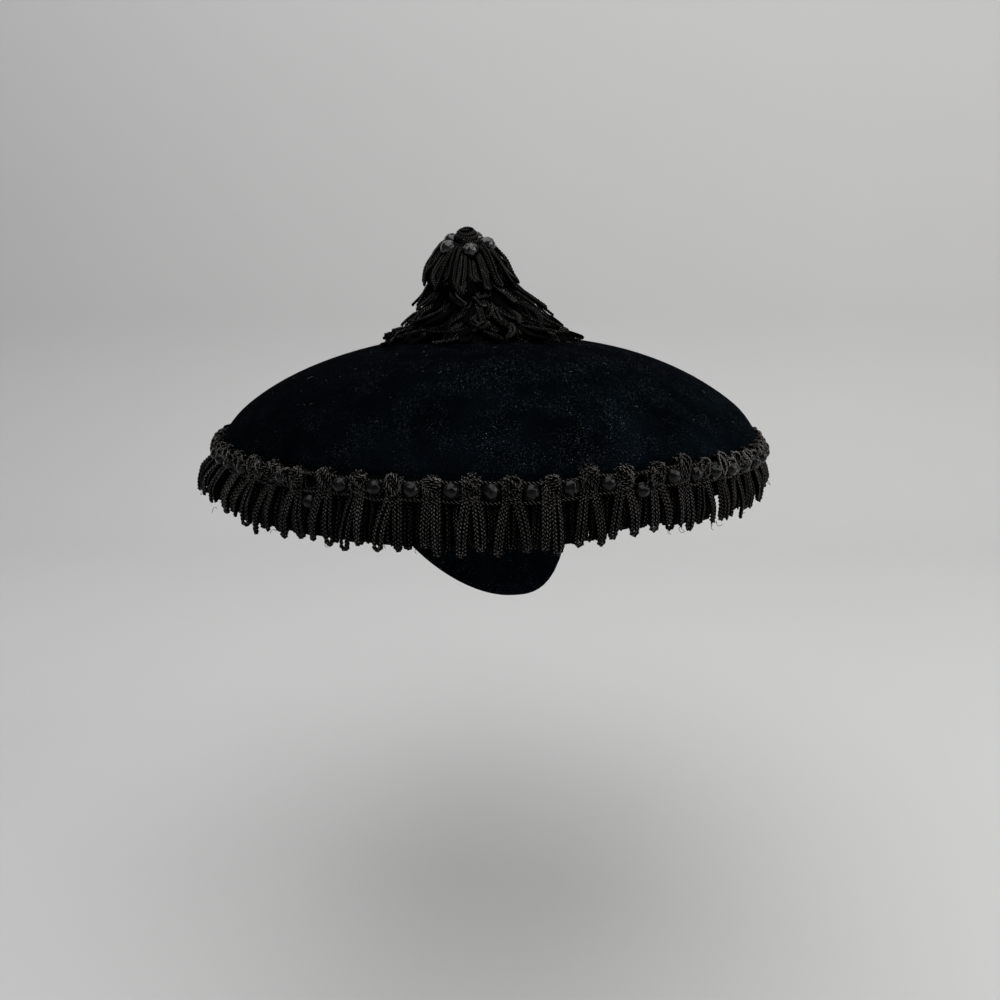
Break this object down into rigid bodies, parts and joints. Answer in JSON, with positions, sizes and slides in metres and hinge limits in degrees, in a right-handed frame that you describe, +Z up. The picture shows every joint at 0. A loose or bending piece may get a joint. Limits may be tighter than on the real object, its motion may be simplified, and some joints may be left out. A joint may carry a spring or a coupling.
{
  "type": "cocktail hat",
  "caption": "Shallow black velvet dome hat with a looped-cord fringe and jet beads round its rim, a tiered fringe topknot, and a close inner cap with ear lobes.",
  "frame": {"origin": "where the top of the head meets the inside of the inner cap", "axes": "+Z up, -Y the wearer's front, +X the wearer's left"},
  "size_m": [0.2434, 0.2408, 0.1392],
  "materials": {
    "velvet": "black cotton velvet, short matt pile",
    "cord_trim": "warm black plaited cord, soft sheen",
    "jet_bead": "opaque jet glass, faceted and polished"
  },
  "bodies": {
    "root": {"crown": "velvet", "inner_cap": "velvet", "rim_fringe": "cord_trim", "topknot_core": "cord_trim", "top_button": "cord_trim", "topknot_tier_1": "cord_trim", "topknot_tier_2": "cord_trim", "topknot_tier_3": "cord_trim", "topknot_tier_4": "cord_trim", "topknot_bead_1": "jet_bead", "topknot_bead_2": "jet_bead", "topknot_bead_3": "jet_bead", "topknot_bead_4": "jet_bead", "topknot_bead_5": "jet_bead", "rim_bead_01": "jet_bead", "rim_bead_02": "jet_bead", "rim_bead_03": "jet_bead", "rim_bead_04": "jet_bead", "rim_bead_05": "jet_bead", "rim_bead_06": "jet_bead", "rim_bead_07": "jet_bead", "rim_bead_08": "jet_bead", "rim_bead_09": "jet_bead", "rim_bead_10": "jet_bead", "rim_bead_11": "jet_bead", "rim_bead_12": "jet_bead", "rim_bead_13": "jet_bead", "rim_bead_14": "jet_bead", "rim_bead_15": "jet_bead", "rim_bead_16": "jet_bead", "rim_bead_17": "jet_bead", "rim_bead_18": "jet_bead", "rim_bead_19": "jet_bead", "rim_bead_20": "jet_bead", "rim_bead_21": "jet_bead", "rim_bead_22": "jet_bead", "rim_bead_23": "jet_bead", "rim_bead_24": "jet_bead", "rim_bead_25": "jet_bead", "rim_bead_26": "jet_bead", "rim_bead_27": "jet_bead", "rim_bead_28": "jet_bead", "rim_bead_29": "jet_bead", "rim_bead_30": "jet_bead", "rim_bead_31": "jet_bead", "rim_bead_32": "jet_bead", "rim_bead_33": "jet_bead", "rim_bead_34": "jet_bead", "rim_bead_35": "jet_bead"}
  },
  "joints": []
}
